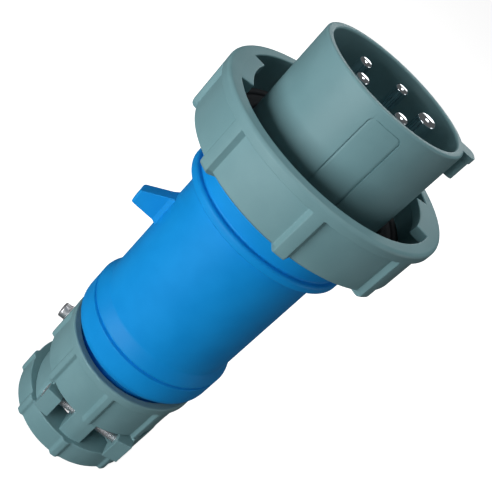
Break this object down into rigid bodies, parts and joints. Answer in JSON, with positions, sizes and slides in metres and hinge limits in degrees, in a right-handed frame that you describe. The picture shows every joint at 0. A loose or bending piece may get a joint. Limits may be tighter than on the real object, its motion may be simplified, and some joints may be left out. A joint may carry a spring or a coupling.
{
  "type": "pin and sleeve plug",
  "caption": "Round industrial power plug with shrouded pins, ribbed bayonet coupling ring, tapered tube housing and a gland nut with screwed cable clamp.",
  "frame": {"origin": "centre of the gland nut's rear face, on the plug's axis", "axes": "+Z along the axis to the mouth, +X through the key and the earth pin"},
  "size_m": [0.0904, 0.0904, 0.19],
  "materials": {
    "grey_plastic": "satin grey-green moulding",
    "blue_plastic": "satin blue moulding",
    "insulator": "dark moulding",
    "black_rubber": "matt rubber",
    "slip_plastic": "natural plastic",
    "bright_steel": "zinc plated",
    "contact_metal": "nickel plated brass"
  },
  "bodies": {
    "plug_body": {"contact_carrier": "grey_plastic", "contact_retainer": "insulator", "retainer_screw": "bright_steel", "face_seal": "black_rubber", "housing": "blue_plastic", "housing_seal": "black_rubber", "gland_seal": "black_rubber", "pin_l1": "contact_metal", "pin_l2": "contact_metal", "pin_l3": "contact_metal", "pin_neutral": "contact_metal", "pin_earth": "contact_metal", "terminal_screw_l1": "bright_steel", "terminal_screw_l2": "bright_steel", "terminal_screw_l3": "bright_steel", "terminal_screw_neutral": "bright_steel", "terminal_screw_earth": "bright_steel"},
    "ring": {"coupling_ring": "grey_plastic"},
    "slip_washer": {"thrust_washer": "slip_plastic"},
    "nut": {"gland_nut": "grey_plastic"},
    "left_jaw": {"clamp_jaw_left": "grey_plastic", "clamp_washer_near": "bright_steel"},
    "near_screw": {"clamp_screw_near": "bright_steel"},
    "right_jaw": {"clamp_jaw_right": "grey_plastic", "clamp_nut_near": "bright_steel", "clamp_nut_far": "bright_steel"},
    "far_washer": {"clamp_washer_far": "bright_steel"},
    "far_screw": {"clamp_screw_far": "bright_steel"}
  },
  "joints": [
    {"name": "ring_turn", "type": "hinge", "parent": "plug_body", "child": "ring", "pos_m": [0, 0, 0.145], "axis": [0, 0, 1], "continuous": true},
    {"name": "nut_travel", "type": "slide", "parent": "plug_body", "child": "slip_washer", "axis": [0, 0, 1], "range_m": [-0.006, 0.0024]},
    {"name": "nut_turn", "type": "hinge", "parent": "slip_washer", "child": "nut", "pos_m": [0, 0, 0.04], "axis": [0, 0, 1], "range_deg": [-719.9, 287.9]},
    {"name": "left_jaw_slide", "type": "slide", "parent": "nut", "child": "left_jaw", "axis": [1, 0, 0], "range_m": [0, 0.0052]},
    {"name": "near_screw_turn", "type": "hinge", "parent": "left_jaw", "child": "near_screw", "pos_m": [0, -0.021, 0.0195], "axis": [1, 0, 0], "range_deg": [0, 5349]},
    {"name": "right_jaw_slide", "type": "slide", "parent": "nut", "child": "right_jaw", "axis": [-1, 0, 0], "range_m": [0, 0.0052]},
    {"name": "far_screw_travel", "type": "slide", "parent": "right_jaw", "child": "far_washer", "axis": [1, 0, 0], "range_m": [0, 0.0123]},
    {"name": "far_screw_turn", "type": "hinge", "parent": "far_washer", "child": "far_screw", "pos_m": [0, 0.021, 0.0195], "axis": [1, 0, 0], "range_deg": [0, 6326]}
  ],
  "couplings": [
    {"joint": "nut_travel", "follows": "nut_turn", "m_per_rad": 0.00047746},
    {"joint": "near_screw_turn", "follows": "left_jaw_slide", "rad_per_m": 17952},
    {"joint": "right_jaw_slide", "follows": "left_jaw_slide", "ratio": 1},
    {"joint": "far_screw_turn", "follows": "far_screw_travel", "rad_per_m": 8976}
  ]
}
